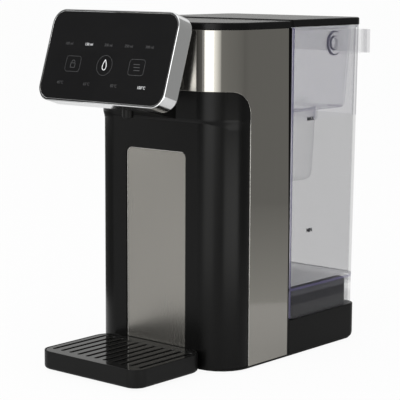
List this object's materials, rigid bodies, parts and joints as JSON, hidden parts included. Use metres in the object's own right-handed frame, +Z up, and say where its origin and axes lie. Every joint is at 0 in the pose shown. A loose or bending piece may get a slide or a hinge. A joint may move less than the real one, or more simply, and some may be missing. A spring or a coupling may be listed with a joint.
{
  "type": "instant hot water dispenser",
  "caption": "Countertop instant hot water dispenser: steel-wrapped column, tilted touch head, clear lift-off rear tank with handle, slotted drip tray.",
  "frame": {"origin": "on the worktop, under the middle of the whole outline", "axes": "+X to the user's right across the column, +Y from the drip tray in front to the tank behind, +Z up"},
  "size_m": [0.1706, 0.307, 0.3197],
  "materials": {
    "black_plastic": "black moulded plastic, fine satin texture",
    "black_gloss": "polished black plastic",
    "brushed_steel": "stainless steel sheet with a fine vertical brushing",
    "satin_silver": "satin silver",
    "black_glass": "black touch glass, polished",
    "clear_plastic": "clear plastic with a faint violet tint",
    "frosted_plastic": "translucent plastic",
    "white_plastic": "off-white moulded plastic",
    "dark_plastic": "dark grey moulded plastic",
    "rubber": "matt black rubber",
    "silicone": "milky silicone",
    "zinc_steel": "plain bright steel",
    "aluminium": "extruded aluminium",
    "circuit_board": "green solder mask"
  },
  "bodies": {
    "housing": {"base_plate": "black_plastic", "foot_front_left": "rubber", "foot_front_right": "rubber", "foot_rear_left": "rubber", "foot_rear_right": "rubber", "base_screw_1": "zinc_steel", "base_screw_2": "zinc_steel", "base_screw_3": "zinc_steel", "base_screw_4": "zinc_steel", "dock_housing": "black_plastic", "cord_gland": "rubber", "column_cover": "black_plastic", "steel_wrap": "brushed_steel", "splash_plate": "brushed_steel", "rear_wall": "black_plastic", "top_cover": "black_gloss", "control_frame": "satin_silver", "touch_glass": "black_glass", "touch_board": "circuit_board", "head_neck": "black_plastic", "spout_nozzle": "dark_plastic", "heater_tube": "zinc_steel", "heater_inlet_cap": "dark_plastic", "heater_outlet_cap": "dark_plastic", "heater_bracket": "zinc_steel", "thermal_cutout": "dark_plastic", "outlet_sensor": "zinc_steel", "power_board": "circuit_board", "triac_heat_sink": "aluminium", "pump_head": "dark_plastic", "pump_motor": "zinc_steel", "pump_cradle": "rubber", "inlet_hose": "silicone", "delivery_hose": "silicone", "outlet_hose": "silicone", "coupler_pin": "dark_plastic", "coupler_seal": "silicone"},
    "impeller": {"pump_rotor": "white_plastic"},
    "tank": {"tank_shell": "clear_plastic", "valve_housing": "white_plastic", "valve_ring": "silicone", "valve_spring": "zinc_steel"},
    "valve": {"valve_poppet": "white_plastic"},
    "handle": {"tank_handle": "frosted_plastic"},
    "funnel": {"funnel_tray": "frosted_plastic", "filter_cartridge": "white_plastic"},
    "lid": {"tank_lid": "black_gloss"},
    "tray": {"drip_tray": "black_plastic", "tray_pad_left": "rubber", "tray_pad_right": "rubber"},
    "grille": {"drip_grille": "black_plastic"}
  },
  "joints": [
    {"name": "tank_lift", "type": "slide", "parent": "housing", "child": "tank", "axis": [0, 0, 1], "range_m": [0, 0.285]},
    {"name": "handle_swing", "type": "hinge", "parent": "tank", "child": "handle", "pos_m": [0, 0.089, 0.288], "axis": [-1, 0, 0], "range_deg": [-90, 0]},
    {"name": "funnel_lift", "type": "slide", "parent": "tank", "child": "funnel", "axis": [0, 0, 1], "range_m": [0, 0.2]},
    {"name": "lid_lift", "type": "slide", "parent": "funnel", "child": "lid", "axis": [0, 0, 1], "range_m": [0, 0.06]},
    {"name": "valve_lift", "type": "slide", "parent": "tank", "child": "valve", "axis": [0, 0, 1], "range_m": [0, 0.0015], "stiffness_N_per_m": 200, "springref_m": -0.006, "deforming": ["valve_spring"]},
    {"name": "tray_slide", "type": "slide", "parent": "housing", "child": "tray", "axis": [0, -1, 0], "range_m": [0, 0.12]},
    {"name": "grille_lift", "type": "slide", "parent": "tray", "child": "grille", "axis": [0, 0, 1], "range_m": [0, 0.04]},
    {"name": "pump_spin", "type": "hinge", "parent": "housing", "child": "impeller", "pos_m": [0, 0.1025, 0.027], "axis": [1, 0, 0], "continuous": true}
  ]
}
